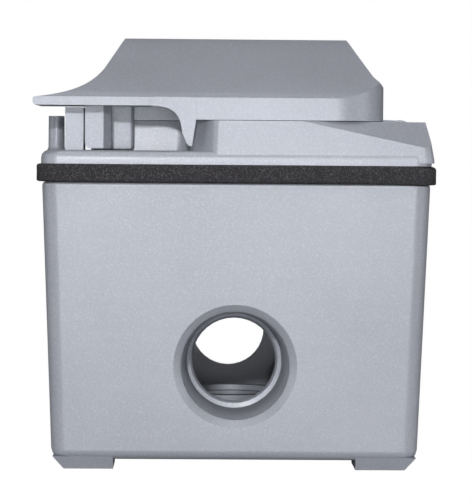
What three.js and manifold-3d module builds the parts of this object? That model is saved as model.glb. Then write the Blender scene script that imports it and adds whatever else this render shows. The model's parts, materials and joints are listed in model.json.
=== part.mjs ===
import * as THREE from 'three';
import { mergeVertices } from 'three/addons/utils/BufferGeometryUtils.js';
import Module from 'manifold-3d';

// Weatherproof outlet box lying on its back: millimetres, +Z up, the origin under the middle of the box.
// The padlock hasp is at the -Y end on the -X side, and the lid's hinge runs along the +X side.

const wasm = await Module();
wasm.setup();

// Box casting
const boxWidth = 71.2;
const boxLength = 115.4;
const boxHeight = 51.05;
const boxWall = 3;
const boxFloor = 2.6;
const boxCorner = 3;
const boxRimRound = 0.7;
const boxBackRound = 1.9;
const draftDegrees = 2.1;
const draft = Math.tan(THREE.MathUtils.degToRad(draftDegrees));

// Feet cast on the back
const padHeight = 1.8;
const padWidth = 9.1;
const padLength = 11;
const padFromSide = 2.3;
const padFlare = 2;
const padEndFlare = 1.3;

// Threaded conduit hubs, one in each end and one in the back
const hubHeight = 17.4;
const hubBore = 10;
const hubMouth = hubBore + 1.4;
const hubStopBore = hubBore - 0.9;
const hubThroat = hubBore - 2.1;
const hubDepth = 15.6;
const hubStop = 2.2;
const hubWall = 2.6;
const backHubRise = 5.2;

// Foam gasket between the box and the cover
const gasketThick = 3.3;
const gasketOverhang = 0.85;
const gasketBand = 4.2;

// Cover plate casting
const plateWidth = boxWidth + 0.4;
const plateLength = boxLength + 0.6;
const plateCorner = 3.2;
const plateThick = 2.5;
const plateEdge = 1.1;
const platformRise = 8.1;
const platformWall = 2.5;
const platformSetBack = 0.1;
const platformDraft = 1.2;
const platformRound = 1.8;
const facetStart = 7.2;
const facetSlope = 0.185;
const facetRise = 0.7;

// Hasp recess in the near left corner of the platform
const recessDepth = 17.6;
const skirtWall = 1.4;
const recessCorner = 6.2;

// Hasp lugs, post and finger tab
const lugThick = 3.4;
const lugLength = 9;
const lugLeft = 4.1 - plateWidth / 2;
const lugFromEnd = 8;
const haspHole = 2.95;
const haspFromEnd = 12.2;
const keeperThick = 4.7;
const keeperFromEnd = 7.5;
const shelfThick = 4.1;
const shelfLength = 2.5;
const shelfFromEnd = 15.2;
const postRadius = 1.55;
const postRise = 6.4;
const tabTip = lugLeft - 5.6;
const tabRight = lugLeft + 15.8;
const tabThick = 1.55;
const tabLength = 19.2;

// Lid casting
const lidWidth = plateWidth - 16.8;
const lidLength = plateLength - 4.4;
const lidHeight = 15.6;
const lidWall = 2.2;
const lidCorner = 9;
const lidEndRim = 4.05;
const lidSideRim = 6.2;
const lidTopWidth = lidWidth - 12.6;
const lidEndSlope = 21;
const lidGap = 0.1;

// Hinge along the right long side
const hingeX = plateWidth / 2 - 3.8;
const hingeDrop = 2.1;
const knuckleWall = 1.55;
const knuckleLength = 6;
const pinRadius = 1.2;
const pinClearance = 0.25;
const knuckleRadius = pinRadius + knuckleWall;
const hingeHalf = 32;
const springHalf = 12;
const springRadius = pinRadius + 1;

// Receptacle
const deviceWidth = 33.2;
const deviceLength = 66.6;
const deviceClearance = 0.5;
const deviceBodyWidth = 42;
const deviceBodyLength = deviceLength + 1;
const deviceBodyDepth = 25;
const deviceWall = 2;
const strapThick = 1.3;
const strapLength = boxLength - 2 * gasketBand - 2;
const strapWidth = 19;
const faceRise = 8;
const mountSpacing = deviceLength + 16.74;
const screwRadius = 1.6;
const screwClearance = 0.3;
const screwHeadRadius = 3.6;
const screwHeadRise = 2.1;
const terminalY = 13;
const terminalDrop = 9;
const outletSpacing = 39;
const outletShift = 3;
const buttonWidth = 12;
const buttonLength = 5.6;
const buttonRise = 0.9;
const buttonTravel = 1.2;
const buttonClearance = 0.35;

// Lid seal round the device opening
const sealBand = 3;
const sealThick = 2;
const sealWidth = deviceBodyWidth + 5;
const sealLength = deviceLength + 8;

const touchGap = 0.3;

// Levels above the surface that the pads stand on
const backZ = padHeight;
const floorZ = backZ + boxFloor;
const rimZ = backZ + boxHeight;
const gasketTop = rimZ + gasketThick;
const flangeTop = gasketTop + plateThick;
const platformTop = gasketTop + platformRise;
const lidBottom = platformTop + lidGap;
const lidTop = lidBottom + lidHeight;
const hingeZ = platformTop - hingeDrop;
const hubZ = backZ + hubHeight;
const strapTop = rimZ + strapThick;
const faceBottom = strapTop + touchGap;
const faceTop = faceBottom + faceRise;
const tabBottom = lidBottom + lidEndRim - tabThick;
const plateFront = -plateLength / 2;
const platformFront = plateFront + platformSetBack;
const platformRight = plateWidth / 2 + 0.35;
const platformLeft = -lidWidth / 2 - 0.2;
const recessRight = lugLeft + 27.4;
const recessInner = recessRight - 4.3;
const recessBack = platformFront + recessDepth;
const lidFront = -lidLength / 2;

const castPaint = { color: 0xb6bac5, roughness: 0.42, metalness: 0.35 };
const foam = { color: 0x3c3a3f, roughness: 0.95, metalness: 0 };
const steel = { color: 0xb9bcc0, roughness: 0.3, metalness: 1 };
const brass = { color: 0xc39a4e, roughness: 0.35, metalness: 1 };
const greenZinc = { color: 0x2f7d4c, roughness: 0.4, metalness: 0.6 };
const greyPlastic = { color: 0x8d9196, roughness: 0.5, metalness: 0 };
const blackPlastic = { color: 0x1d1e20, roughness: 0.55, metalness: 0 };
const boardGreen = { color: 0x1f5a3a, roughness: 0.6, metalness: 0 };
const copper = { color: 0xb4683c, roughness: 0.4, metalness: 0.8 };
const lampGreen = { color: 0x5fd08a, roughness: 0.25, metalness: 0 };

const model = new THREE.Group();

// ---- geometry helpers ----

// A closed geometry as a solid, without the empty triangles that merging leaves at a pole.
function solidOf(geometry) {
  geometry.deleteAttribute('normal');
  geometry.deleteAttribute('uv');
  const merged = mergeVertices(geometry, 1e-4);
  const corners = merged.index.array;
  const kept = [];
  for (let i = 0; i < corners.length; i += 3) {
    const [a, b, c] = [corners[i], corners[i + 1], corners[i + 2]];
    if (a !== b && b !== c && c !== a) kept.push(a, b, c);
  }
  return new wasm.Manifold(new wasm.Mesh({
    numProp: 3,
    vertProperties: new Float32Array(merged.attributes.position.array),
    triVerts: new Uint32Array(kept),
  }));
}

function geometryOf(solid) {
  const mesh = solid.getMesh();
  const geometry = new THREE.BufferGeometry();
  geometry.setAttribute('position', new THREE.BufferAttribute(new Float32Array(mesh.vertProperties), 3));
  geometry.setIndex(new THREE.BufferAttribute(new Uint32Array(mesh.triVerts), 1));
  geometry.computeVertexNormals();
  return geometry;
}

function addPart(name, solid, finish, x = 0, y = 0, z = 0) {
  const mesh = new THREE.Mesh(geometryOf(solid), new THREE.MeshStandardMaterial(finish));
  mesh.name = name;
  mesh.position.set(x, y, z);
  model.add(mesh);
  return mesh;
}

function roundedRectangle(width, length, radius) {
  const [w, l] = [width / 2, length / 2];
  const shape = new THREE.Shape();
  shape.moveTo(w, -l + radius);
  shape.lineTo(w, l - radius);
  shape.absarc(w - radius, l - radius, radius, 0, Math.PI / 2, false);
  shape.lineTo(-w + radius, l);
  shape.absarc(-w + radius, l - radius, radius, Math.PI / 2, Math.PI, false);
  shape.lineTo(-w, -l + radius);
  shape.absarc(-w + radius, -l + radius, radius, Math.PI, Math.PI * 1.5, false);
  shape.lineTo(w - radius, -l);
  shape.absarc(w - radius, -l + radius, radius, Math.PI * 1.5, Math.PI * 2, false);
  return shape;
}

function outlineOf(points) {
  return new THREE.Shape(points.map(([x, y]) => new THREE.Vector2(x, y)));
}

// A rounded rectangle swept upwards: each profile point [inset, z] is one ring of the block.
function profiledBlock(width, length, radius, profile) {
  const steps = profile.length - 1;
  const outline = roundedRectangle(width, length, radius);
  const options = { depth: steps, steps, bevelEnabled: false, curveSegments: radius > 2.5 ? 4 : 2 };
  const geometry = new THREE.ExtrudeGeometry(outline, options);
  const position = geometry.attributes.position;
  for (let i = 0; i < position.count; i++) {
    const [inset, z] = profile[Math.round(position.getZ(i))];
    const x = position.getX(i) * (1 - 2 * inset / width);
    const y = position.getY(i) * (1 - 2 * inset / length);
    position.setXYZ(i, x, y, z);
  }
  return solidOf(geometry);
}

function roundedBlock(width, length, radius, z0, z1, x = 0, y = 0) {
  return profiledBlock(width, length, radius, [[0, z0], [0, z1]]).translate([x, y, 0]);
}

// Profile points of a quarter round, from inset 0 at z0 to inset r at z0 + r (turned over when down).
function quarterRound(r, z, down) {
  const points = [];
  for (let i = 0; i <= 3; i++) {
    const angle = (i / 3) * Math.PI / 2;
    const inset = r * (1 - Math.cos(angle));
    points.push([inset, z + (down ? -1 : 1) * r * Math.sin(angle)]);
  }
  return down ? points.reverse() : points;
}

function boxBetween(x0, x1, y0, y1, z0, z1) {
  const geometry = new THREE.BoxGeometry(x1 - x0, y1 - y0, z1 - z0);
  geometry.translate((x0 + x1) / 2, (y0 + y1) / 2, (z0 + z1) / 2);
  return solidOf(geometry);
}

// An upright plan outline between two levels.
function upright(shape, z0, z1) {
  const settings = { depth: z1 - z0, bevelEnabled: false, curveSegments: 6 };
  const geometry = new THREE.ExtrudeGeometry(shape, settings);
  geometry.translate(0, 0, z0);
  return solidOf(geometry);
}

// An outline drawn in X and Z, swept along Y.
function alongY(shape, y0, y1, curveSegments = 8) {
  const geometry = new THREE.ExtrudeGeometry(shape, { depth: y1 - y0, bevelEnabled: false, curveSegments });
  geometry.rotateX(Math.PI / 2);
  geometry.translate(0, y1, 0);
  return solidOf(geometry);
}

// An outline drawn in Y and Z, swept along X.
function alongX(shape, x0, x1) {
  const settings = { depth: x1 - x0, bevelEnabled: false, curveSegments: 8 };
  const geometry = new THREE.ExtrudeGeometry(shape, settings);
  const turn = new THREE.Matrix4().makeBasis(
    new THREE.Vector3(0, 1, 0), new THREE.Vector3(0, 0, 1), new THREE.Vector3(1, 0, 0));
  geometry.applyMatrix4(turn);
  geometry.translate(x0, 0, 0);
  return solidOf(geometry);
}

function rodAlongY(radius, y0, y1, x, z, sides = 24) {
  const geometry = new THREE.CylinderGeometry(radius, radius, y1 - y0, sides);
  geometry.translate(x, (y0 + y1) / 2, z);
  return solidOf(geometry);
}

function rodAlongX(radius, x0, x1, y, z, sides = 24) {
  const geometry = new THREE.CylinderGeometry(radius, radius, x1 - x0, sides);
  geometry.rotateZ(Math.PI / 2);
  geometry.translate((x0 + x1) / 2, y, z);
  return solidOf(geometry);
}

function rodUp(radius, z0, z1, x = 0, y = 0, sides = 24, topRadius = radius) {
  const geometry = new THREE.CylinderGeometry(topRadius, radius, z1 - z0, sides);
  geometry.rotateX(Math.PI / 2);
  geometry.translate(x, y, (z0 + z1) / 2);
  return solidOf(geometry);
}

// A turned piece about Z from [radius, z] points that start and end on the axis, lowest first.
function turned(points, sides = 32) {
  const geometry = new THREE.LatheGeometry(points.map(([r, z]) => new THREE.Vector2(r, z)), sides);
  geometry.rotateX(Math.PI / 2);
  return solidOf(geometry);
}

// ---- box ----

// Profile points of a drafted wall: a round at the lower edge, and each point drawn in by the draft.
function drafted(inset, points) {
  return points.map(([r, z]) => [inset + r + (rimZ - z) * draft, z]);
}

function boxShell() {
  const back = drafted(0, quarterRound(boxBackRound, backZ + boxBackRound, true));
  const rim = drafted(0, quarterRound(boxRimRound, rimZ - boxRimRound, false));
  const shell = profiledBlock(boxWidth, boxLength, boxCorner, [...back, ...rim]);
  const floorRound = 1.2;
  const inside = drafted(boxWall, [...quarterRound(floorRound, floorZ + floorRound, true), [0, rimZ + 1]]);
  return shell.subtract(profiledBlock(boxWidth, boxLength, boxCorner, inside));
}

// Flared mouth of a hub, entered at z = 0.
function hubMouthForm() {
  const end = 1.4;
  return turned([
    [0, -1], [hubMouth + 1, -1], [hubMouth, 0], [hubMouth - 0.95, 0.6], [hubBore, 1.15],
    [hubBore, end], [0, end]], 36);
}

// Bore of a conduit hub, entered at z = 0: tapered thread, stop ring and throat.
function hubBoreForm() {
  const stopStart = hubDepth - 0.9;
  return turned([
    [0, -1], [hubBore, -1], [hubBore, 1.2], [hubStopBore, stopStart],
    [hubStopBore + 0.35, stopStart + 0.15], [hubStopBore + 0.35, hubDepth - 0.2],
    [hubThroat + 0.4, hubDepth], [hubThroat, hubDepth + 0.5], [hubThroat, hubDepth + hubStop + 1],
    [0, hubDepth + hubStop + 1]], 36);
}

// Outer body of an end hub, from the end face inwards, with the web that ties it to the floor.
function hubBody() {
  const radius = hubBore + hubWall;
  const start = boxWall / 2 + (rimZ - hubZ) * draft;
  const end = hubDepth + hubStop;
  const body = rodAlongY(radius, start, end, 0, hubZ, 30);
  const web = boxBetween(-radius * 0.7, radius * 0.7, start, end, floorZ - 1, hubZ);
  return body.add(web);
}

function screwLug() {
  const reach = boxLength / 2 - mountSpacing / 2 + 4.2;
  const lug = boxBetween(-5.5, 5.5, boxWall / 2, reach, rimZ - 12, rimZ);
  const screwY = boxLength / 2 - mountSpacing / 2;
  return lug.subtract(rodUp(screwRadius + screwClearance, rimZ - 10.5, rimZ + 1, 0, screwY));
}

function pad(sideX, sideY) {
  const outerX = boxWidth / 2 - boxHeight * draft - padFromSide;
  const shape = outlineOf([
    [outerX - padWidth, 0], [outerX, 0], [outerX + padFlare, padHeight + 0.6],
    [outerX - padWidth, padHeight + 0.6]]);
  const endY = boxLength / 2 - boxHeight * draft - 1.6;
  const side = outlineOf([
    [endY - padLength, -1], [endY, -1], [endY, 0], [endY + padEndFlare, padHeight + 0.6],
    [endY - padLength, padHeight + 0.6]]);
  const foot = alongY(shape, endY - padLength, endY + padEndFlare).intersect(alongX(side, 0, boxWidth));
  return foot.scale([sideX, sideY, 1]);
}

function makeBoxBody() {
  let body = boxShell();
  const endHub = hubBody().translate([0, -boxLength / 2, 0]);
  const endLug = screwLug().translate([0, -boxLength / 2, 0]);
  const faceInset = (rimZ - hubZ) * draft;
  const mouth = hubMouthForm().rotate([draftDegrees - 90, 0, 0]);
  const bore = hubBoreForm().rotate([-90, 0, 0]).add(mouth).translate([0, faceInset - boxLength / 2, hubZ]);
  for (const side of [1, -1]) {
    body = body.add(endHub.scale([1, side, 1])).add(endLug.scale([1, side, 1]));
  }
  for (const side of [1, -1]) {
    body = body.subtract(bore.scale([1, side, 1]));
  }
  body = body.add(rodUp(hubBore + hubWall + 0.4, backZ + 0.5, floorZ + backHubRise, 0, 0, 30));
  body = body.subtract(rodUp(hubBore, backZ - 1, floorZ + backHubRise + 1, 0, 0, 30));
  for (const sideX of [1, -1]) {
    for (const sideY of [1, -1]) body = body.add(pad(sideX, sideY));
  }
  body = body.add(rodUp(4.2, floorZ - 1, floorZ + 3, groundX, groundY, 20));
  body = body.subtract(rodUp(screwRadius + screwClearance, floorZ - 0.6, floorZ + 4, groundX, groundY, 16));
  addPart('box_body', body, castPaint);
}

const groundX = 20;
const groundY = 30;

function makeHubPlug() {
  const radius = hubBore - screwClearance;
  const top = floorZ + backHubRise - 1;
  let plug = rodUp(radius, backZ + 0.3, top, 0, 0, 30);
  plug = plug.subtract(rodUp(radius - 2.4, backZ + 3.3, top + 1, 0, 0, 24));
  plug = plug.subtract(boxBetween(-radius - 1, radius + 1, -1, 1, backZ, backZ + 1.8));
  addPart('back_hub_plug', plug, castPaint);
}

// Slotted pan-head screw about Z: underside of the head at z = 0.
function panScrew(length, slotTurn) {
  const head = turned([
    [0, 0], [screwHeadRadius, 0], [screwHeadRadius, 0.7], [screwHeadRadius * 0.86, 1.5],
    [0, screwHeadRise]], 16);
  const slot = boxBetween(-5, 5, -0.55, 0.55, screwHeadRise - 1, screwHeadRise + 1).rotate([0, 0, slotTurn]);
  return head.add(rodUp(screwRadius, -length, 0.2, 0, 0, 10)).subtract(slot);
}

function makeGroundScrew() {
  addPart('ground_screw', panScrew(3.2, 25), greenZinc, groundX, groundY, floorZ + 3 + touchGap);
}

// ---- gasket ----

function makeGasket() {
  const [width, length] = [plateWidth + 2 * gasketOverhang, plateLength + 2 * gasketOverhang];
  const outer = roundedBlock(width, length, plateCorner + gasketOverhang, rimZ, gasketTop);
  const innerWidth = boxWidth - 2 * gasketBand;
  const innerLength = boxLength - 2 * gasketBand;
  const inner = roundedBlock(innerWidth, innerLength, 4, rimZ - 1, gasketTop + 1);
  addPart('box_gasket', outer.subtract(inner), foam);
}

// ---- cover plate ----

function platformOutline() {
  const [right, left, front, back] = [platformRight, platformLeft, platformFront, -platformFront];
  const r = platformRound;
  const shape = new THREE.Shape();
  shape.moveTo(recessRight + 0.9, front);
  shape.lineTo(right - r, front);
  shape.absarc(right - r, front + r, r, -Math.PI / 2, 0, false);
  shape.lineTo(right, back - r);
  shape.absarc(right - r, back - r, r, 0, Math.PI / 2, false);
  shape.lineTo(left + lidCorner, back);
  shape.absarc(left + lidCorner, back - lidCorner, lidCorner, Math.PI / 2, Math.PI, false);
  shape.lineTo(left, recessBack + r);
  shape.absarc(left + r, recessBack + r, r, Math.PI, Math.PI * 1.5, false);
  shape.lineTo(recessInner - 3, recessBack);
  shape.quadraticCurveTo(recessInner, recessBack, recessInner, recessBack - 3);
  shape.lineTo(recessInner, front + recessCorner);
  shape.lineTo(recessRight - 0.6, front + 0.9);
  shape.quadraticCurveTo(recessRight, front, recessRight + 0.9, front);
  return shape;
}

// Everything above the flat facet that falls to the platform's near right corner.
function facetCutter() {
  const size = plateLength;
  const geometry = new THREE.BoxGeometry(size, size, size);
  geometry.translate(facetStart, platformFront, platformTop + size / 2);
  const position = geometry.attributes.position;
  for (let i = 0; i < position.count; i++) {
    if (position.getZ(i) > platformTop + 1) continue;
    const drop = facetSlope * (position.getX(i) - facetStart) - facetRise * (position.getY(i) - platformFront);
    position.setZ(i, platformTop - drop);
  }
  return solidOf(geometry);
}

// The raised platform, its walls leaning in from the flange's edge.
function platformForm() {
  const profile = [[0, gasketTop + 0.5], [0, gasketTop + plateEdge], [platformDraft, platformTop]];
  const options = { depth: 2, steps: 2, bevelEnabled: false, curveSegments: 6 };
  const geometry = new THREE.ExtrudeGeometry(platformOutline(), options);
  const middle = (platformRight + platformLeft) / 2;
  const position = geometry.attributes.position;
  for (let i = 0; i < position.count; i++) {
    const [inset, z] = profile[Math.round(position.getZ(i))];
    const x = (position.getX(i) - middle) * (1 - inset / (platformRight - middle)) + middle;
    const y = position.getY(i) * (1 + inset / platformFront);
    position.setXYZ(i, x, y, z);
  }
  return solidOf(geometry).subtract(facetCutter());
}

function flangeForm() {
  const bevel = plateThick - plateEdge;
  const top = quarterRound(bevel, gasketTop + plateEdge, false);
  return profiledBlock(plateWidth, plateLength, plateCorner, [[0, gasketTop], ...top]);
}

function hingeRecess() {
  return boxBetween(hingeX - 3.2, plateWidth, -hingeHalf, hingeHalf, hingeZ - knuckleRadius - touchGap, lidTop);
}

// One knuckle of the plate or of the lid, from y0 to y1.
function plateKnuckle(y0, y1) {
  const foot = boxBetween(hingeX - knuckleRadius, hingeX + knuckleRadius, y0, y1, gasketTop + 1, hingeZ);
  return rodAlongY(knuckleRadius, y0, y1, hingeX, hingeZ, 20).add(foot);
}

function lidKnuckle(y0, y1) {
  const [x, z, r] = [hingeX, hingeZ, knuckleRadius];
  const wallX = lidWidth / 2 - lidWall / 2;
  const arm = outlineOf([
    [wallX, lidBottom], [x - r + 0.2, lidBottom], [x, z], [x, z + r], [wallX, z + r + 0.2]]);
  return rodAlongY(r, y0, y1, x, z, 20).add(alongY(arm, y0, y1));
}

const plateKnuckles = [-1, 1].map((side) => [side, hingeHalf - 3 - knuckleLength, hingeHalf - 3]);
const lidKnuckles = [-1, 1].map((side) => {
  const outer = hingeHalf - 3 - knuckleLength - touchGap;
  return [side, outer - knuckleLength, outer];
});

function span([side, inner, outer]) {
  return side > 0 ? [inner, outer] : [-outer, -inner];
}

function padlockLug() {
  const front = plateFront + lugFromEnd;
  const top = tabBottom - touchGap;
  const shape = new THREE.Shape();
  shape.moveTo(front, flangeTop - 1);
  shape.lineTo(front + lugLength, flangeTop - 1);
  shape.lineTo(front + lugLength, top - 2);
  shape.absarc(front + lugLength - 2, top - 2, 2, 0, Math.PI / 2, false);
  shape.lineTo(front, top);
  return alongX(shape, lugLeft, lugLeft + lugThick);
}

const haspY = plateFront + haspFromEnd;
const haspZ = flangeTop + 4.4;

function makeCoverPlate() {
  let plate = flangeForm().add(platformForm());
  plate = plate.subtract(hingeRecess());
  for (const knuckle of plateKnuckles) plate = plate.add(plateKnuckle(...span(knuckle)));
  plate = plate.subtract(rodAlongY(pinRadius + pinClearance / 5, -hingeHalf, hingeHalf, hingeX, hingeZ, 16));
  const hollowWidth = deviceBodyWidth + 2;
  const hollowLength = deviceBodyLength + 6;
  plate = plate.subtract(roundedBlock(hollowWidth, hollowLength, 3, gasketTop - 1, platformTop - platformWall));
  const opening = [deviceWidth + 2 * deviceClearance, deviceLength + 2 * deviceClearance];
  plate = plate.subtract(roundedBlock(...opening, 2, gasketTop, platformTop + 1));
  for (const side of [-1, 1]) {
    const y = side * mountSpacing / 2;
    plate = plate.add(rodUp(4.6, strapTop + touchGap, gasketTop + 1, 0, y, 24));
    plate = plate.subtract(rodUp(screwRadius + screwClearance, strapTop - 1, platformTop, 0, y, 20));
    const seatZ = platformTop - screwHeadRise - 0.6;
    plate = plate.subtract(rodUp(screwHeadRadius + 0.5, seatZ, platformTop + 1, 0, y, 24));
  }
  const hole = rodAlongX(haspHole, lugLeft - 1, lugLeft + lugThick + 1, haspY, haspZ, 16);
  plate = plate.add(padlockLug().subtract(hole));
  const postY = plateFront + 21.5;
  const postX = lugLeft - postRadius - 0.75;
  const postTop = flangeTop + postRise;
  plate = plate.add(rodUp(postRadius, flangeTop - 1, postTop, postX, postY, 20, postRadius * 0.97));
  plate = plate.add(rodUp(postRadius + 0.6, flangeTop - 1, flangeTop + 0.5, postX, postY, 20, postRadius));
  addPart('cover_plate', plate, castPaint);
}

function makeCoverScrews() {
  const underHead = platformTop - screwHeadRise - 0.6 + touchGap / 3;
  const names = ['cover_screw_near', 'cover_screw_far'];
  names.forEach((name, i) => {
    const y = (i ? 1 : -1) * mountSpacing / 2;
    addPart(name, panScrew(underHead - rimZ + 9, i ? 70 : 15), steel, 0, y, underHead);
  });
}

// ---- lid ----

// Half the cross-section of the lid, from the rim up the side to the top; wall is the inset from the outside.
function lidSide(wall) {
  const half = lidWidth / 2 - wall;
  const rimTop = lidBottom + lidSideRim - 0.35 * wall;
  const kink = [lidWidth / 2 - 2.1 - 0.9 * wall, lidBottom + 8.3 - 0.5 * wall];
  const edge = [lidTopWidth / 2 - 0.6 * wall, lidTop - wall];
  return [[half, rimTop], kink, edge];
}

// The lid's outer form, or its hollow when wall is above 0.
function lidForm(wall) {
  const base = lidBottom - (wall > 0 ? 1 : 0);
  const side = lidSide(wall);
  const mirrored = side.map(([x, z]) => [-x, z]).reverse();
  const half = side[0][0];
  const crossLine = outlineOf([[half, base], ...side, ...mirrored, [-half, base]]);
  const across = alongY(crossLine, -lidLength, lidLength);
  const end = lidLength / 2 - wall;
  const slope = endSlope(wall);
  const far = slope.map(([y, z]) => [-y, z]).reverse();
  const sideLine = outlineOf([[-end, base], ...slope, ...far, [end, base]].reverse());
  const along = alongX(sideLine, -lidWidth, lidWidth);
  const plan = roundedBlock(lidWidth - 2 * wall, lidLength - 2 * wall, lidCorner - wall, base, lidTop);
  return plan.intersect(across).intersect(along);
}

// The sloping near end, from its rim to the edge of the flat top: steep, then shallow, then steeper again.
function endSlope(wall) {
  const front = -lidLength / 2 + wall;
  const rise = lidHeight - lidEndRim;
  const z = lidBottom + lidEndRim - 0.6 * wall;
  const shape = [[0, 0], [0.06, 0.085], [0.18, 0.215], [0.4, 0.44], [0.7, 0.725], [0.88, 0.92], [1, 1]];
  return shape.map(([along, up]) => [front + along * lidEndSlope, z + up * (rise - 0.4 * wall)]);
}

// Finger tab with the concave sweep that carries the lid's side down into it.
function tabForm() {
  const shape = new THREE.Shape();
  const tipTop = tabBottom + tabThick;
  shape.moveTo(tabTip + 0.5, tabBottom);
  shape.lineTo(tabRight, tabBottom);
  const [[, kink, edge]] = [lidSide(0)];
  const [startX, startZ] = [kink[0] - 0.16 * (kink[0] - edge[0]), kink[1] + 0.16 * (edge[1] - kink[1])];
  shape.lineTo(tabRight, startZ);
  shape.lineTo(-startX, startZ);
  shape.bezierCurveTo(-startX - 2.2, startZ - 3.0, -startX - 5.2, tipTop + 0.8, tabTip + 0.6, tipTop);
  shape.quadraticCurveTo(tabTip, tipTop, tabTip, tipTop - 0.6);
  shape.lineTo(tabTip, tabBottom + 0.5);
  shape.quadraticCurveTo(tabTip, tabBottom, tabTip + 0.5, tabBottom);
  const front = lidFront - 0.6;
  const sweep = alongY(shape, front, front + tabLength, 18);
  const slope = endSlope(0);
  const under = outlineOf([
    [front - 1, tabBottom - 1], ...[[front - 1, tipTop], ...slope.slice(0, -1)],
    [front + tabLength + 1, lidTop],
    [front + tabLength + 1, tabBottom - 1]].reverse());
  return sweep.intersect(alongX(under, tabTip - 1, 0));
}

// The hooked leg that closes the right end of the hasp recess.
function hookLeg() {
  const right = recessRight - 3.2;
  const shape = new THREE.Shape();
  shape.moveTo(right - 8, tabBottom);
  shape.bezierCurveTo(right - 3.7, tabBottom - 0.2, right - 2.9, tabBottom - 1.6, right - 2.5, lidBottom - 2.4);
  shape.lineTo(right - 1.7, flangeTop + 1.4);
  shape.quadraticCurveTo(right - 1.3, flangeTop + 0.7, right - 0.7, flangeTop + 0.9);
  shape.lineTo(right, lidBottom);
  shape.lineTo(right, lidBottom + 3);
  shape.quadraticCurveTo(right, lidBottom + 4.1, right - 2, lidBottom + 4.1);
  shape.lineTo(right - 8, lidBottom + 4.1);
  return alongY(shape, lidFront - 0.3, lidFront + lidWall);
}

// Lid lug beside the padlock lug, with a set-back shelf: drawn in plan, and rounded at its lower corners.
function keeper() {
  const left = lugLeft + lugThick + touchGap;
  const middle = left + keeperThick;
  const right = middle + shelfThick;
  const [low, high] = [flangeTop + touchGap, tabBottom + 0.5];
  const front = plateFront + keeperFromEnd;
  const shelfFront = plateFront + shelfFromEnd;
  const back = shelfFront + shelfLength;
  const plan = new THREE.Shape();
  plan.moveTo(left, back);
  plan.lineTo(left, front);
  plan.lineTo(middle - 1.3, front);
  plan.lineTo(middle, front + 1.5);
  plan.lineTo(middle, shelfFront);
  plan.lineTo(right - 0.8, shelfFront);
  plan.quadraticCurveTo(right, shelfFront, right, shelfFront + 0.8);
  plan.lineTo(right, back);
  const section = new THREE.Shape();
  section.moveTo(left, high);
  section.lineTo(left, low + 1.3);
  section.quadraticCurveTo(left + 0.1, low + 0.1, left + 0.7, low);
  section.lineTo(right - 1, low);
  section.quadraticCurveTo(right, low, right, low + 1.1);
  section.lineTo(right, high);
  const body = upright(plan, low - 1, high).intersect(alongY(section, front - 1, back + 1));
  return body.subtract(rodAlongX(haspHole, left - 1, middle + shelfThick / 2, haspY, haspZ, 16));
}

function makeLid() {
  let lid = lidForm(0).subtract(lidForm(lidWall));
  const inner = lidForm(lidWall * 0.5);
  // Skirt that follows the recess, so that the space over the device stays closed.
  const skirtY = recessBack + 0.6;
  const skirtX = recessInner + 0.9;
  const across = boxBetween(
    -lidWidth / 2 + 1, skirtX + skirtWall, skirtY, skirtY + skirtWall, lidBottom, lidTop);
  const along = boxBetween(skirtX, skirtX + skirtWall, lidFront + 1, skirtY + skirtWall, lidBottom, lidTop);
  lid = lid.add(across.add(along).intersect(inner));
  lid = lid.subtract(boxBetween(tabTip, skirtX - 0.1, lidFront - 2, skirtY - 0.1, lidBottom - 1, tabBottom));
  lid = lid.add(tabForm()).add(hookLeg()).add(keeper());
  const sealRib = roundedBlock(sealWidth - 2, sealLength - 2, 3, platformTop + sealThick + 0.1, lidTop)
    .subtract(roundedBlock(sealWidth - 5, sealLength - 5, 2, lidBottom, lidTop + 1));
  lid = lid.add(sealRib.intersect(inner));
  for (const knuckle of lidKnuckles) lid = lid.add(lidKnuckle(...span(knuckle)));
  lid = lid.subtract(rodAlongY(pinRadius + pinClearance, -hingeHalf, hingeHalf, hingeX, hingeZ, 16));
  addPart('lid', lid, castPaint);
}

function makeLidSeal() {
  const outer = roundedBlock(sealWidth, sealLength, 4, platformTop, platformTop + sealThick);
  const inner = roundedBlock(sealWidth - 2 * sealBand, sealLength - 2 * sealBand, 2, platformTop - 1, lidTop);
  addPart('lid_seal', outer.subtract(inner), foam);
}

// ---- hinge ----

function makeHinge() {
  const end = hingeHalf - 3 + 0.6;
  addPart('hinge_pin', rodAlongY(pinRadius, -end, end, hingeX, hingeZ, 16), steel);
  const bore = rodAlongY(pinRadius + 0.3, -springHalf - 1, springHalf + 1, hingeX, hingeZ, 16);
  const coil = rodAlongY(springRadius, -springHalf, springHalf, hingeX, hingeZ, 16);
  addPart('hinge_spring', coil.subtract(bore), steel);
}

// ---- receptacle ----

function makeDeviceBody() {
  const [width, length, top] = [deviceBodyWidth, deviceBodyLength, rimZ - touchGap];
  const tray = roundedBlock(width, length, 3, top - deviceBodyDepth, top);
  const inner = [width - 2 * deviceWall, length - 2 * deviceWall];
  let body = tray.subtract(roundedBlock(...inner, 2, top - deviceBodyDepth + deviceWall, top + 1));
  for (const y of [-terminalY, terminalY]) {
    const z = top - terminalDrop;
    const hole = rodAlongX(screwRadius + screwClearance, width / 2 - 4, width / 2 + 1, y, z, 16);
    body = body.subtract(hole).subtract(hole.scale([-1, 1, 1]));
  }
  addPart('receptacle_body', body, blackPlastic);
}

function makeStrap() {
  const middle = roundedBlock(deviceWidth + 4, deviceLength + 3, 2, rimZ, strapTop);
  let strap = middle.add(roundedBlock(strapWidth, strapLength, 3, rimZ, strapTop));
  strap = strap.subtract(roundedBlock(deviceWidth - 6, deviceLength - 8, 2, rimZ - 1, strapTop + 1));
  for (const side of [-1, 1]) {
    const y = side * mountSpacing / 2;
    strap = strap.subtract(rodUp(screwRadius + screwClearance, rimZ - 1, strapTop + 1, 0, y, 12));
  }
  addPart('mounting_strap', strap, steel);
}

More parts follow.
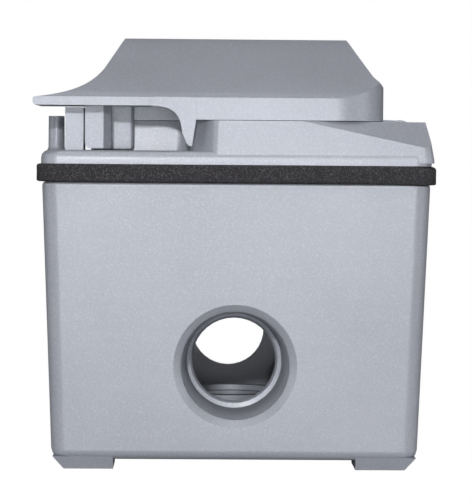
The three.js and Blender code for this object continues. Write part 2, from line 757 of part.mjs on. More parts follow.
// Blade slots and the earth hole of one outlet, at a given place along the face.
function outletSlots(y) {
  const deep = faceTop - 5.5;
  const narrow = boxBetween(-7.3, -5.5, y - 3.3, y + 3.3, deep, faceTop + 1);
  const wide = boxBetween(5.3, 7.4, y - 4.1, y + 4.1, deep, faceTop + 1);
  const earth = rodUp(2.5, deep, faceTop + 1, 0, y - 8.4, 18);
  return narrow.add(wide).add(earth);
}

function makeFace() {
  const edge = quarterRound(0.8, faceTop - 0.8, false);
  let face = profiledBlock(deviceWidth, deviceLength, 1.6, [[0, faceBottom], ...edge]);
  face = face.subtract(outletSlots(outletShift - outletSpacing / 2));
  face = face.subtract(outletSlots(outletShift + outletSpacing / 2));
  for (const side of [-1, 1]) {
    const [w, l] = [buttonWidth / 2 + buttonClearance, buttonLength / 2 + buttonClearance];
    const y = side * buttonSpacing / 2;
    face = face.subtract(boxBetween(-w, w, y - l, y + l, faceBottom + 1.5, faceTop + 1));
  }
  face = face.subtract(rodUp(1.5, faceTop - 2.5, faceTop + 1, lampX, 0, 16));
  addPart('receptacle_face', face, greyPlastic);
}

const buttonSpacing = 8;
const lampX = 11.5;

function makeButtons() {
  ['test_button', 'reset_button'].forEach((name, i) => {
    const y = (i ? 1 : -1) * buttonSpacing / 2;
    const low = faceBottom + 1.5 + buttonTravel + touchGap;
    const edge = quarterRound(0.5, faceTop + buttonRise - 0.5, false);
    const button = profiledBlock(buttonWidth, buttonLength, 0.8, [[0, low], ...edge]);
    addPart(name, button.translate([0, y, 0]), i ? greyPlastic : blackPlastic);
  });
  addPart('status_lamp', rodUp(1.2, faceTop - 2.2, faceTop + 0.2, lampX, 0, 16), lampGreen);
}

function makeTerminalScrews() {
  const top = rimZ - touchGap;
  for (const side of [1, -1]) {
    [-terminalY, terminalY].forEach((y, i) => {
      const name = `${side > 0 ? 'line' : 'neutral'}_screw_${i + 1}`;
      const screw = panScrew(3.4, 35 + 40 * i).rotate([0, side * 90, 0]);
      const x = side * (deviceBodyWidth / 2 + touchGap);
      addPart(name, screw, side > 0 ? brass : steel, x, y, top - terminalDrop);
    });
  }
}

function makeDeviceInsides() {
  const low = rimZ - touchGap - deviceBodyDepth + deviceWall;
  const board = roundedBlock(deviceBodyWidth - 8, deviceBodyLength - 12, 1, low + 3, low + 4.6);
  addPart('circuit_board', board, boardGreen);
  const bore = rodUp(3.4, low + 4, low + 12, 0, -15, 20);
  const ring = rodUp(7, low + 4.9, low + 10.9, 0, -15, 28).subtract(bore);
  addPart('sensing_coil', ring, copper);
  addPart('trip_solenoid', rodAlongY(4.6, 6, 24, 0, low + 9.8, 20), copper);
  const half = deviceBodyLength / 2 - 6.8;
  for (const side of [1, -1]) {
    const x = side * 12.5;
    const bar = boxBetween(x - 2.4, x + 2.4, -half, half, rimZ - 6, rimZ - 2.2);
    addPart(side > 0 ? 'line_contact' : 'neutral_contact', bar, brass);
  }
}

makeBoxBody();
makeHubPlug();
makeGroundScrew();
makeGasket();
makeCoverPlate();
makeCoverScrews();
makeLid();
makeLidSeal();
makeHinge();
makeDeviceBody();
makeStrap();
makeFace();
makeButtons();
makeTerminalScrews();
makeDeviceInsides();

export default model;
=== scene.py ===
import json
import math

import bmesh
import bpy
import numpy as np
from mathutils import Matrix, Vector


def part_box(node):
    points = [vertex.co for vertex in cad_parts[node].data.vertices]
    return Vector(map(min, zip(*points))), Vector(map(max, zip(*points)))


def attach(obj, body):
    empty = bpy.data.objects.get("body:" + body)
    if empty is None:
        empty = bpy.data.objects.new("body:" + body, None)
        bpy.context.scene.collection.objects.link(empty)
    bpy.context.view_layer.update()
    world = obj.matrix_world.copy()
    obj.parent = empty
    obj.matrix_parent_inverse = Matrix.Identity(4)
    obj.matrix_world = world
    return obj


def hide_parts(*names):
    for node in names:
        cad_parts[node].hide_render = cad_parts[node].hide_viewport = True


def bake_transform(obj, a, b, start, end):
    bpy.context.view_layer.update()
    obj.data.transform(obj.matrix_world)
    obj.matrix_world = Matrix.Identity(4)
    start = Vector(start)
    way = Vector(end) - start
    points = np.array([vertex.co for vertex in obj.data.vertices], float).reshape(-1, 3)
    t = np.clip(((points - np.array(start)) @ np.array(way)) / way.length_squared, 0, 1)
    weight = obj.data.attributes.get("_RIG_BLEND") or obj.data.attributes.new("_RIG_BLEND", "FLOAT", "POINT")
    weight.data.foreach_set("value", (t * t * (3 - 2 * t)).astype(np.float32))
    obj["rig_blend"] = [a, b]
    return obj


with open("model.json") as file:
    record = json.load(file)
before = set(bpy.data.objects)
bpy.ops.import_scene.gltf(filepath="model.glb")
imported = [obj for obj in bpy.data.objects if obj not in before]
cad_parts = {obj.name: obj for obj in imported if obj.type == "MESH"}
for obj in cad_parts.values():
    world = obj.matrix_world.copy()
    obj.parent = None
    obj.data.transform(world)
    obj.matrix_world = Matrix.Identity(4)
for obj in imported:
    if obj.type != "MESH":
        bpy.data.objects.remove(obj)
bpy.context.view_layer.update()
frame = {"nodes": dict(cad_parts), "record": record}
mm = 0.001


def cornersOf(node):
    low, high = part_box(node)
    return np.array(low), np.array(high)


def newMaterial(name):
    material = bpy.data.materials.new(name)
    material.use_nodes = True
    tree = material.node_tree
    tree.nodes.clear()
    output = tree.nodes.new("ShaderNodeOutputMaterial")
    shader = tree.nodes.new("ShaderNodeBsdfPrincipled")
    tree.links.new(shader.outputs["BSDF"], output.inputs["Surface"])
    return material, tree, shader


def addNode(tree, kind, settings=None, **sockets):
    node = tree.nodes.new(kind)
    for key, value in (settings or {}).items():
        setattr(node, key, value)
    for key, value in sockets.items():
        name = key.replace("_", " ")
        if isinstance(value, bpy.types.NodeSocket):
            tree.links.new(value, node.inputs[name])
        else:
            node.inputs[name].default_value = value
    return node


def objectPlace(tree):
    return addNode(tree, "ShaderNodeTexCoord").outputs["Object"]


# Noise in object space: scale is in features per metre
def noiseOf(tree, place, scale, detail):
    noise = addNode(tree, "ShaderNodeTexNoise", Vector=place, Scale=scale, Detail=detail, Roughness=0.5)
    return noise.outputs["Fac"]


def rampOf(tree, value, stops):
    ramp = addNode(tree, "ShaderNodeValToRGB", Fac=value)
    elements = ramp.color_ramp.elements
    while len(elements) < len(stops):
        elements.new(0.5)
    for element, (position, colour) in zip(elements, stops):
        element.position = position
        element.color = (*colour, 1.0)
    return ramp.outputs["Color"]


def mixOf(tree, blend, factor, a, b):
    mix = tree.nodes.new("ShaderNodeMix")
    mix.data_type = "RGBA"
    mix.blend_type = blend
    for name, value in (("Factor", factor), ("A", a), ("B", b)):
        socket = [s for s in mix.inputs if s.name == name and s.enabled][0]
        if isinstance(value, bpy.types.NodeSocket):
            tree.links.new(value, socket)
        else:
            socket.default_value = value if name == "Factor" else (*value, 1.0)
    return [s for s in mix.outputs if s.enabled][0]


def rangeOf(tree, value, low, high, toLow, toHigh):
    node = addNode(tree, "ShaderNodeMapRange", Value=value,
                   From_Min=low, From_Max=high, To_Min=toLow, To_Max=toHigh)
    return node.outputs["Result"]


def bumpOf(tree, height, strength, distance, normal=None):
    bump = addNode(tree, "ShaderNodeBump", Height=height, Strength=strength, Distance=distance)
    if normal is not None:
        tree.links.new(normal, bump.inputs["Normal"])
    return bump.outputs["Normal"]


# The pale flake colour is partly the flakes' own tone and partly a painted glint, brighter than the flakes
# are without light on them
coat = {
    "colour": (0.435, 0.455, 0.515), "shade": (0.395, 0.414, 0.470), "flakeAndGlint": (0.66, 0.68, 0.74),
    "metallic": 0.20, "roughness": (0.40, 0.50), "flakeScale": 6500.0, "cloudScale": 45.0,
    "peelScale": 520.0, "peel": (0.35, 0.00006), "grain": (0.22, 0.00002), "clear": (0.12, 0.22),
}


# Metallic powder coat: a grey film with fine pale flakes, whose brightest cells are painted glints (painted
# highlights standing in for the flakes' sparkle of light), cloudy tone and orange peel
def powderCoat():
    material, tree, shader = newMaterial("powderCoat")
    place = objectPlace(tree)
    cloud = noiseOf(tree, place, coat["cloudScale"], 4.0)
    film = mixOf(tree, "MIX", rangeOf(tree, cloud, 0.3, 0.7, 0.0, 1.0), coat["shade"], coat["colour"])
    cells = addNode(tree, "ShaderNodeTexVoronoi", Vector=place, Scale=coat["flakeScale"])
    # Painted glints: the brightest random cells are lightened in the base colour toward the pale flake
    # colour, as painted highlights for sparkle off the flakes
    paintedGlint = rampOf(tree, cells.outputs["Color"], [
        (0.0, (0, 0, 0)), (0.62, (0.02, 0.02, 0.02)), (0.85, (0.4, 0.4, 0.4))])
    flakesAndPaintedGlints = mixOf(tree, "MIX", paintedGlint, film, coat["flakeAndGlint"])
    tree.links.new(flakesAndPaintedGlints, shader.inputs["Base Color"])
    fine = noiseOf(tree, place, coat["flakeScale"] * 0.6, 1.0)
    rough = rangeOf(tree, fine, 0.3, 0.7, *coat["roughness"])
    tree.links.new(rough, shader.inputs["Roughness"])
    peel = bumpOf(tree, noiseOf(tree, place, coat["peelScale"], 2.0), *coat["peel"])
    grain = bumpOf(tree, cells.outputs["Color"], *coat["grain"], peel)
    tree.links.new(grain, shader.inputs["Normal"])
    shader.inputs["Metallic"].default_value = coat["metallic"]
    shader.inputs["Specular IOR Level"].default_value = 0.5
    shader.inputs["Coat Weight"].default_value = coat["clear"][0]
    shader.inputs["Coat Roughness"].default_value = coat["clear"][1]
    return material


foam = {
    "cellScale": 5200.0, "cloudScale": 600.0, "roughness": (0.78, 0.95), "pits": (0.5, 0.00008),
    "swell": (0.5, 0.0001),
}


# Closed-cell foam: near black, with pits and scattered pale cells
def foamRubber():
    material, tree, shader = newMaterial("gasketFoam")
    place = objectPlace(tree)
    cells = addNode(tree, "ShaderNodeTexVoronoi", Vector=place, Scale=foam["cellScale"])
    speck = rampOf(tree, cells.outputs["Color"], [
        (0.0, (0.020, 0.019, 0.022)), (0.6, (0.033, 0.031, 0.036)), (0.9, (0.10, 0.097, 0.105))])
    cloud = noiseOf(tree, place, foam["cloudScale"], 3.0)
    mottle = rampOf(tree, cloud, [(0.3, (0.6, 0.6, 0.62)), (0.7, (1.2, 1.18, 1.2))])
    colour = mixOf(tree, "MULTIPLY", 0.6, speck, mottle)
    tree.links.new(colour, shader.inputs["Base Color"])
    tree.links.new(rangeOf(tree, cloud, 0.3, 0.7, *foam["roughness"]), shader.inputs["Roughness"])
    pits = bumpOf(tree, cells.outputs["Distance"], *foam["pits"])
    tree.links.new(bumpOf(tree, cloud, *foam["swell"], pits), shader.inputs["Normal"])
    return material


metal = {"lineScale": 900.0, "bloomScale": 160.0, "lines": (0.25, 0.00003), "spread": (-0.07, 0.09)}


# Plated or bare metal with faint turning marks and a dulled bloom
def plainMetal(name, bright, dull, roughness, streak):
    material, tree, shader = newMaterial(name)
    place = objectPlace(tree)
    stretched = addNode(tree, "ShaderNodeMapping", Vector=place, Scale=streak).outputs["Vector"]
    lines = noiseOf(tree, stretched, metal["lineScale"], 3.0)
    bloom = noiseOf(tree, place, metal["bloomScale"], 4.0)
    colour = mixOf(tree, "MIX", rangeOf(tree, bloom, 0.35, 0.7, 0.0, 1.0), bright, dull)
    tree.links.new(colour, shader.inputs["Base Color"])
    smooth, coarse = (roughness + step for step in metal["spread"])
    tree.links.new(rangeOf(tree, lines, 0.3, 0.7, smooth, coarse), shader.inputs["Roughness"])
    tree.links.new(bumpOf(tree, lines, *metal["lines"]), shader.inputs["Normal"])
    shader.inputs["Metallic"].default_value = 1.0
    return material


plastic = {"cloudScale": 90.0, "darker": 0.82, "grain": (0.35, 0.00004), "spread": (-0.06, 0.08)}


# Moulded thermoplastic: fine spark-eroded grain and slight mottling
def mouldedPlastic(name, colour, roughness, grain):
    material, tree, shader = newMaterial(name)
    place = objectPlace(tree)
    fine = noiseOf(tree, place, grain, 2.0)
    cloud = noiseOf(tree, place, plastic["cloudScale"], 3.0)
    darker = tuple(c * plastic["darker"] for c in colour)
    mottled = mixOf(tree, "MIX", rangeOf(tree, cloud, 0.3, 0.7, 0.0, 1.0), darker, colour)
    tree.links.new(mottled, shader.inputs["Base Color"])
    smooth, coarse = (roughness + step for step in plastic["spread"])
    tree.links.new(rangeOf(tree, fine, 0.3, 0.7, smooth, coarse), shader.inputs["Roughness"])
    tree.links.new(bumpOf(tree, fine, *plastic["grain"]), shader.inputs["Normal"])
    return material


# Name, bright colour, dull colour, roughness and how the marks are stretched
metals = {
    "screw_steel": ("zincSteel", (0.58, 0.59, 0.61), (0.40, 0.41, 0.43), 0.30, (1.0, 1.0, 6.0)),
    "spring_steel": ("springWire", (0.50, 0.51, 0.53), (0.33, 0.34, 0.36), 0.26, (1.0, 5.0, 1.0)),
    "strap_steel": ("galvanisedStrap", (0.56, 0.57, 0.58), (0.40, 0.41, 0.42), 0.42, (6.0, 1.0, 1.0)),
    "terminal_brass": ("terminalBrass", (0.72, 0.50, 0.20), (0.48, 0.30, 0.10), 0.30, (1.0, 1.0, 5.0)),
    "green_zinc": ("earthScrewGreen", (0.05, 0.30, 0.12), (0.03, 0.18, 0.07), 0.36, (1.0, 1.0, 5.0)),
    "copper_winding": ("enamelledCopper", (0.62, 0.25, 0.09), (0.40, 0.14, 0.05), 0.28, (1.0, 8.0, 1.0)),
}
# Name, colour, roughness and the scale of the grain
plastics = {
    "grey_plastic": ("deviceGrey", (0.30, 0.315, 0.335), 0.42, 2400.0),
    "black_plastic": ("deviceBlack", (0.018, 0.018, 0.020), 0.45, 2400.0),
    "lamp_plastic": ("lampLens", (0.15, 0.62, 0.28), 0.18, 900.0),
    "board": ("circuitBoard", (0.025, 0.13, 0.06), 0.38, 700.0),
}
finishes = {"powder_coat": powderCoat(), "foam": foamRubber()}
finishes.update({slot: plainMetal(*look) for slot, look in metals.items()})
finishes.update({slot: mouldedPlastic(*look) for slot, look in plastics.items()})
slotOf = {part["node"]: part["material_slot"] for part in frame["record"]["subparts"]}
print("materials made")


# Rows by columns of points made into quads; wrapRows and wrapColumns close the grid on itself
def gridMesh(name, points, wrapRows, wrapColumns):
    rows, columns = points.shape[:2]
    row = np.arange(rows if wrapRows else rows - 1)
    column = np.arange(columns if wrapColumns else columns - 1)
    i, j = np.meshgrid(row, column, indexing="ij")
    nextI, nextJ = (i + 1) % rows, (j + 1) % columns
    quads = np.stack([i * columns + j, nextI * columns + j,
                      nextI * columns + nextJ, i * columns + nextJ], -1)
    mesh = bpy.data.meshes.new(name)
    mesh.from_pydata(points.reshape(-1, 3).tolist(), [], quads.reshape(-1, 4).tolist())
    mesh.validate()
    return mesh


def addPiece(name, mesh, body, slot, replaced=()):
    piece = bpy.data.objects.new(name, mesh)
    bpy.context.scene.collection.objects.link(piece)
    mesh.materials.clear()
    mesh.materials.append(finishes[slot])
    if body:
        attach(piece, body)
    if replaced:
        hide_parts(*replaced)
    return piece


def outwardSmooth(mesh, angle=180.0):
    shape = bmesh.new()
    shape.from_mesh(mesh)
    bmesh.ops.recalc_face_normals(shape, faces=shape.faces)
    shape.to_mesh(mesh)
    shape.free()
    mesh.shade_smooth()
    if angle < 180.0:
        mesh.set_sharp_from_angle(angle=math.radians(angle))


def capEnds(mesh):
    shape = bmesh.new()
    shape.from_mesh(mesh)
    bmesh.ops.holes_fill(shape, edges=[edge for edge in shape.edges if edge.is_boundary])
    shape.to_mesh(mesh)
    shape.free()


bodies = frame["record"]["behaviour"]["bodies"]
bodyOf = {node: body for body, nodes in bodies.items() for node in nodes}
edges = {"weld": 2e-6, "flat": 0.4, "segments": 2, "sharp": 32.0, "lidSharp": 20.0, "even": 80}


# A node's own shape with its loose triangles joined, its flat areas made whole and its edges broken by
# a small bevel; sharp is the least angle in degrees between faces that counts as an edge
def finishedCopy(node, name, bevel, sharp):
    mesh = frame["nodes"][node].data.copy()
    shape = bmesh.new()
    shape.from_mesh(mesh)
    bmesh.ops.remove_doubles(shape, verts=shape.verts, dist=edges["weld"])
    flat = math.radians(edges["flat"])
    bmesh.ops.dissolve_limit(shape, angle_limit=flat, verts=shape.verts, edges=shape.edges)
    shape.to_mesh(mesh)
    shape.free()
    for attribute in list(mesh.attributes):
        if attribute.name == "custom_normal":
            mesh.attributes.remove(attribute)
    mesh.shade_smooth()
    mesh.set_sharp_from_angle(angle=math.radians(sharp))
    piece = addPiece(name, mesh, bodyOf[node], slotOf[node], [node])
    edge = piece.modifiers.new("brokenEdges", "BEVEL")
    edge.width = bevel
    edge.segments = edges["segments"]
    edge.limit_method = "ANGLE"
    edge.angle_limit = math.radians(sharp)
    edge.harden_normals = True
    edge.use_clamp_overlap = True
    even = piece.modifiers.new("flatFaces", "WEIGHTED_NORMAL")
    even.mode = "FACE_AREA"
    even.weight = edges["even"]
    even.keep_sharp = True


# Name of the finished piece and the width of its bevel
brokenEdges = {
    "box_body": ("boxCasting", 0.30), "cover_plate": ("coverCasting", 0.30),
    "back_hub_plug": ("backHubPlug", 0.25), "receptacle_face": ("receptacleFace", 0.18),
    "receptacle_body": ("receptacleBody", 0.25), "mounting_strap": ("mountingStrap", 0.12),
    "test_button": ("testButton", 0.18), "reset_button": ("resetButton", 0.18),
    "status_lamp": ("statusLamp", 0.1), "cover_screw_near": ("coverScrewNear", 0.12),
    "cover_screw_far": ("coverScrewFar", 0.12), "ground_screw": ("groundScrew", 0.12),
    "line_screw_1": ("lineScrew1", 0.1), "line_screw_2": ("lineScrew2", 0.1),
    "neutral_screw_1": ("neutralScrew1", 0.1), "neutral_screw_2": ("neutralScrew2", 0.1),
    "hinge_pin": ("hingePin", 0.15), "circuit_board": ("circuitBoard", 0.1),
    "line_contact": ("lineContact", 0.15), "neutral_contact": ("neutralContact", 0.15),
}
for node, (name, bevel) in brokenEdges.items():
    finishedCopy(node, name, bevel * mm, edges["sharp"])
finishedCopy("lid", "lidCasting", 0.35 * mm, edges["lidSharp"])
print("castings finished")


# Points of a rounded rectangle for several insets at once, anticlockwise: corner arcs joined by
# straight sides
def roundedLoop(halfX, halfY, radius, perCorner, perSide):
    arcs = []
    for corner in range(4):
        angle = math.radians(90.0 * corner) + np.linspace(0.0, math.pi / 2, perCorner)[:, None]
        signX, signY = (1, -1, -1, 1)[corner], (1, 1, -1, -1)[corner]
        arcs.append(np.stack([signX * (halfX - radius) + radius * np.cos(angle),
                              signY * (halfY - radius) + radius * np.sin(angle)], -1))
    rows = []
    share = np.linspace(0.0, 1.0, perSide + 2)[1:-1, None, None]
    for corner in range(4):
        start, end = arcs[corner][-1], arcs[(corner + 1) % 4][0]
        rows += [arcs[corner], start + share * (end - start)]
    return np.concatenate(rows)


# Die-cut foam strip: a squarish section (superellipse) swept round a rounded rectangle. The cut face is
# drawn in by a slow wave, and the outer edge sags near one corner.
def foamStrip(name, node, style):
    low, high = cornersOf(node)
    angle = np.linspace(0.0, 2 * math.pi, style["around"], endpoint=False)
    power = 2.0 / style["square"]
    across = 0.5 - 0.5 * np.sign(np.cos(angle)) * np.abs(np.cos(angle)) ** power
    up = 0.5 + 0.5 * np.sign(np.sin(angle)) * np.abs(np.sin(angle)) ** power
    halfX = high[0] - across * style["bandX"] * mm
    halfY = high[1] - across * style["bandY"] * mm
    radius = (style["outerRadius"] + across * (style["innerRadius"] - style["outerRadius"])) * mm
    loop = roundedLoop(halfX, halfY, radius, style["perCorner"], style["perSide"])
    x, y = loop[..., 0], loop[..., 1]
    along = np.arctan2(y[:, :1], x[:, :1])
    middle = np.exp(-((up - 0.5) / 0.3) ** 2)
    wave = (1.5 + np.sin(11 * along) + 0.5 * np.sin(29 * along + 1.0)) * style["wave"] * mm * middle
    shrink = 1.0 - wave * (1.0 - across) / np.hypot(x, y)
    cornerX, cornerY = style["sagAt"][0] * high[0], style["sagAt"][1] * high[1]
    reach = np.exp(-(np.hypot(x - cornerX, y - cornerY) / (style["sagReach"] * mm)) ** 2)
    outside = np.clip(1.0 - across * style["bandX"] / style["overhang"], 0.0, 1.0)
    z = low[2] + up * (high[2] - low[2]) - style["sag"] * mm * reach * outside
    mesh = gridMesh(name, np.stack([x * shrink, y * shrink, z], -1), True, True)
    outwardSmooth(mesh, 50.0)
    piece = addPiece(name, mesh, bodyOf[node], slotOf[node], [node])


gasketStyle = {
    "around": 40, "square": 9.0, "bandX": 5.25, "bandY": 5.35, "outerRadius": 4.05, "innerRadius": 4.0,
    "perCorner": 14, "perSide": 60, "wave": 0.03, "sagAt": (1.0, -1.0), "sagReach": 7.0, "sag": 0.4,
    "overhang": 1.0, "fill": 0.85,
}
sealStyle = {
    "around": 28, "square": 7.0, "bandX": 3.0, "bandY": 3.0, "outerRadius": 4.0, "innerRadius": 2.0,
    "perCorner": 10, "perSide": 40, "wave": 0.04, "sagAt": (1.0, 1.0), "sagReach": 7.0, "sag": 0.0,
    "overhang": 1.0, "fill": 0.7,
}
foamStrip("boxGasketFoam", "box_gasket", gasketStyle)
foamStrip("lidSealFoam", "lid_seal", sealStyle)
print("foam made")

thread = {
    "faceY": 56.466, "height": 19.2, "mouth": 1.5, "end": 14.3, "mouthRadius": 10.0, "endRadius": 9.1,
    "pitch": 1.81, "depth": 0.2, "fade": 1.0, "bed": 0.12, "around": 144, "perPitch": 10,
    "coarser": 6,
}


# Thread cut in a hub: the tapered bore's radius less a rounded ridge whose phase is the depth in pitches
# less the turn's share of a circle, closed by a coarser ring bedded in the hub's wall.
def hubThread(name, side):
    count = int((thread["end"] - thread["mouth"]) / thread["pitch"] * thread["perPitch"])
    depth = np.linspace(thread["mouth"], thread["end"], count)
    angle = np.linspace(0.0, 2 * math.pi, thread["around"], endpoint=False)[:, None]
    bore = thread["mouthRadius"] + (thread["endRadius"] - thread["mouthRadius"]) * depth / thread["end"]
    phase = depth / thread["pitch"] - angle / (2 * math.pi)
    ridge = (0.5 - 0.5 * np.cos(2 * math.pi * phase)) ** 0.8
    rise = np.clip((depth - thread["mouth"]) / thread["fade"], 0.0, 1.0)
    inner = bore - thread["depth"] * ridge * rise
    outer = np.broadcast_to(bore[::-1] + thread["bed"], inner.shape)[:, ::thread["coarser"]]
    radius = np.concatenate([inner, outer], 1) * mm
    place = np.concatenate([depth, depth[::-1][::thread["coarser"]]]) * mm
    y = np.broadcast_to(side * (thread["faceY"] * mm - place), radius.shape)
    points = np.stack([radius * np.cos(angle), y, thread["height"] * mm + radius * np.sin(angle)], -1)
    mesh = gridMesh(name, points, True, True)
    outwardSmooth(mesh, 60.0)
    addPiece(name, mesh, "box", "powder_coat")


hubThread("nearHubThread", -1)
hubThread("farHubThread", 1)
print("threads made")

spring = {
    "x": 32.0, "z": 62.15, "half": 11.6, "coil": 1.78, "wire": 0.38, "turns": 22, "perTurn": 26,
    "around": 12, "leg": 4.0, "legPoints": 14, "legRise": 0.55,
}


# Tube of round wire along a line of points: rings lie across the line, and the coil's axis sets their turn
def wireTube(name, line, wire, around):
    ahead = np.gradient(line, axis=0)
    ahead /= np.linalg.norm(ahead, axis=1, keepdims=True)
    side = np.cross(ahead, np.array([0.0, 1.0, 0.0]))
    side /= np.linalg.norm(side, axis=1, keepdims=True)
    over = np.cross(side, ahead)
    angle = np.linspace(0.0, 2 * math.pi, around, endpoint=False)
    taper = np.ones(len(line))
    taper[[0, -1]] = 0.02
    ring = np.cos(angle)[None, :, None] * side[:, None] + np.sin(angle)[None, :, None] * over[:, None]
    mesh = gridMesh(name, line[:, None] + wire * taper[:, None, None] * ring, False, True)
    capEnds(mesh)
    outwardSmooth(mesh)
    return mesh


# Torsion spring: a close helix about the hinge pin, with a straight leg to the plate and one to the lid
def hingeSpring():
    turn = np.linspace(0.0, 2 * math.pi * spring["turns"], spring["turns"] * spring["perTurn"] + 1)
    y = np.linspace(-spring["half"], spring["half"], len(turn))
    helix = np.stack([spring["x"] + spring["coil"] * np.sin(turn), y,
                      spring["z"] + spring["coil"] * np.cos(turn)], -1)
    reach = np.linspace(spring["leg"], 0.0, spring["legPoints"], endpoint=False)[:, None]
    plateLeg = helix[0] + reach * np.array([-1.0, 0.0, -0.05])
    lidLeg = helix[-1] + reach[::-1] * np.array([-0.95, 0.0, spring["legRise"] / spring["leg"]])
    line = np.concatenate([plateLeg, helix, lidLeg]) * mm
    mesh = wireTube("hingeSpring", line, spring["wire"] * mm, spring["around"])
    piece = addPiece("hingeSpring", mesh, None, "spring_steel", ["hinge_spring"])
    ends = [tuple(np.array([spring["x"], y, spring["z"]]) * mm) for y in (-spring["half"], spring["half"])]
    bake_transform(piece, "box", "lid", *ends)


hingeSpring()

# The ring's outer and inner radius and height, and the solenoid's radius and length
winding = {
    "ring": (7.0, 3.4, 6.0), "turns": 44, "section": 28,
    "solenoid": (4.6, 18.0), "ridge": 0.16, "coils": 40, "around": 40, "perTurn": 6, "shrink": 0.02,
}


# Toroidal winding: a rounded square section round a vertical axis, ridged once for each turn of wire
def woundRing(name, node):
    low, high = cornersOf(node)
    centre = (low + high) / 2
    outer, inner, tall = (v * mm for v in winding["ring"])
    angle = np.linspace(0.0, 2 * math.pi, winding["turns"] * winding["perTurn"], endpoint=False)[:, None]
    section = np.linspace(0.0, 2 * math.pi, winding["section"], endpoint=False)[None, :]
    squarish = 1.0 / (np.abs(np.cos(section)) ** 5 + np.abs(np.sin(section)) ** 5) ** 0.2
    size = squarish * (1.0 - 0.05 * (1.0 + np.cos(winding["turns"] * angle)))
    radius = (outer + inner) / 2 + (outer - inner) / 2 * size * np.cos(section)
    points = np.stack([centre[0] + radius * np.cos(angle), centre[1] + radius * np.sin(angle),
                       centre[2] + tall / 2 * size * np.sin(section)], -1)
    mesh = gridMesh(name, points, True, True)
    outwardSmooth(mesh)
    addPiece(name, mesh, bodyOf[node], slotOf[node], [node])


# Solenoid winding: a bobbin whose radius ripples once for each turn of wire along its length
def woundBobbin(name, node):
    low, high = cornersOf(node)
    centre = (low + high) / 2
    radius, length = (v * mm for v in winding["solenoid"])
    place = np.linspace(-0.5, 0.5, winding["coils"] * winding["perTurn"] + 1)
    ripple = winding["ridge"] * mm * (0.5 + 0.5 * np.cos(2 * math.pi * winding["coils"] * place))
    tip = winding["shrink"]
    end = np.clip((0.5 - np.abs(place)) / tip, 0.0, 1.0)
    size = (radius - ripple) * (tip + (1.0 - tip) * np.sqrt(1.0 - (1.0 - end) ** 2))
    angle = np.linspace(0.0, 2 * math.pi, winding["around"], endpoint=False)[None, :]
    y = np.broadcast_to((centre[1] + length * place)[:, None], (len(place), winding["around"]))
    points = np.stack([centre[0] + size[:, None] * np.cos(angle), y,
                       centre[2] + size[:, None] * np.sin(angle)], -1)
    mesh = gridMesh(name, points, False, True)
    capEnds(mesh)
    outwardSmooth(mesh)
    addPiece(name, mesh, bodyOf[node], slotOf[node], [node])


woundRing("sensingCoilWinding", "sensing_coil")
woundBobbin("tripSolenoidWinding", "trip_solenoid")
print("spring and windings made")

studio = {
    "floorSize": 6.0, "keyPower": 22.2, "keySize": 0.12, "keyDistance": 2.6, "keyLift": 13.0, "keyLeft": 4.0,
    "topPower": 2.5, "topSize": 0.9, "topPlace": (0.0, -0.35, 0.9), "world": 0.11, "bounce": 0.35,
    "fillPower": 1.1, "fillSize": 0.24, "fillPlace": (0.0, -0.52, -0.02),
    "sidePower": 1.6, "sideSize": 0.6, "sidePlace": (0.85, -0.45, 0.12),
}


# Lit as usual, but plain white where the camera sees it directly
def whiteWhenSeen(tree, lit, white):
    path = tree.nodes.new("ShaderNodeLightPath")
    mix = tree.nodes.new("ShaderNodeMixShader")
    output = [node for node in tree.nodes if node.bl_idname.startswith("ShaderNodeOutput")][0]
    tree.links.new(path.outputs["Is Camera Ray"], mix.inputs[0])
    tree.links.new(lit.outputs[0], mix.inputs[1])
    tree.links.new(white.outputs[0], mix.inputs[2])
    tree.links.new(mix.outputs[0], output.inputs["Surface"])


def paleFloor():
    half = studio["floorSize"] / 2
    side = np.linspace(-half, half, 5)
    x, y = np.meshgrid(side, side, indexing="ij")
    mesh = gridMesh("floor", np.stack([x, y, np.zeros_like(x)], -1), False, False)
    floor = bpy.data.objects.new("floor", mesh)
    bpy.context.scene.collection.objects.link(floor)
    material, tree, shader = newMaterial("paleFloor")
    shader.inputs["Base Color"].default_value = (studio["bounce"],) * 3 + (1.0,)
    shader.inputs["Roughness"].default_value = 0.9
    white = addNode(tree, "ShaderNodeEmission", Color=(1.0, 1.0, 1.0, 1.0), Strength=1.0)
    whiteWhenSeen(tree, shader, white)
    mesh.materials.append(material)


view = {"place": (-0.0079, -0.5075, 0.05895), "yaw": 1.0, "pitch": 2.33, "roll": 0.46, "lens": 177.8}


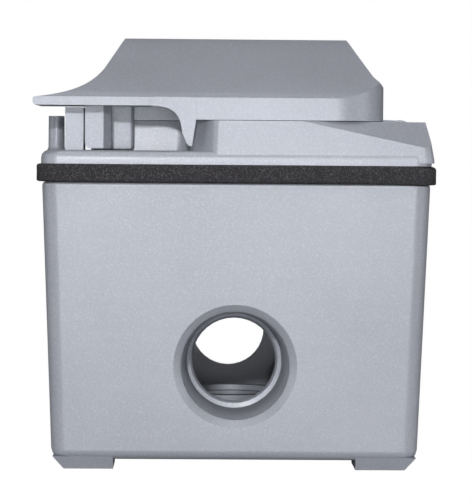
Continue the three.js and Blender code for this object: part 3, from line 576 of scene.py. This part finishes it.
def makeCamera():
    data = bpy.data.cameras.new("camera")
    data.lens = view["lens"]
    data.sensor_width = 36.0
    data.clip_start = 0.01
    camera = bpy.data.objects.new("camera", data)
    turn = (Matrix.Rotation(math.radians(-view["yaw"]), 4, "Z")
            @ Matrix.Rotation(math.radians(90.0 - view["pitch"]), 4, "X")
            @ Matrix.Rotation(math.radians(view["roll"]), 4, "Z"))
    camera.matrix_world = Matrix.Translation(view["place"]) @ turn
    bpy.context.scene.collection.objects.link(camera)
    bpy.context.scene.camera = camera


def areaLight(name, place, target, size, power):
    data = bpy.data.lights.new(name, "AREA")
    data.shape = "DISK"
    data.size = size
    data.energy = power
    lamp = bpy.data.objects.new(name, data)
    aim = np.array(place) - np.array(target)
    lamp.location = place
    azimuth, height = math.atan2(aim[0], -aim[1]), math.atan2(aim[2], math.hypot(aim[0], aim[1]))
    lamp.rotation_euler = (math.pi / 2 - height, 0.0, azimuth)
    bpy.context.scene.collection.objects.link(lamp)


def paleWorld(strength):
    world = bpy.data.worlds.new("studio")
    world.use_nodes = True
    tree = world.node_tree
    tree.nodes.clear()
    tree.nodes.new("ShaderNodeOutputWorld")
    seen = addNode(tree, "ShaderNodeBackground", Color=(1.0, 1.0, 1.0, 1.0), Strength=1.0)
    lighting = addNode(tree, "ShaderNodeBackground", Color=(0.97, 0.98, 1.0, 1.0), Strength=strength)
    whiteWhenSeen(tree, lighting, seen)
    bpy.context.scene.world = world


paleFloor()
makeCamera()
middle = (0.0, -0.03, 0.045)
lift, left = math.radians(studio["keyLift"]), math.radians(studio["keyLeft"])
keyPlace = (middle[0] - studio["keyDistance"] * math.sin(left),
            middle[1] - studio["keyDistance"] * math.cos(left) * math.cos(lift),
            middle[2] + studio["keyDistance"] * math.sin(lift))
areaLight("key", keyPlace, middle, studio["keySize"], studio["keyPower"])
areaLight("fill", studio["fillPlace"], middle, studio["fillSize"], studio["fillPower"])
sideX, sideY, sideZ = studio["sidePlace"]
for name, side in (("leftSide", -1), ("rightSide", 1)):
    areaLight(name, (side * sideX, sideY, sideZ), middle, studio["sideSize"], studio["sidePower"])
areaLight("top", studio["topPlace"], middle, studio["topSize"], studio["topPower"])
paleWorld(studio["world"])
bpy.context.scene.view_settings.view_transform = "Standard"
print("studio set")
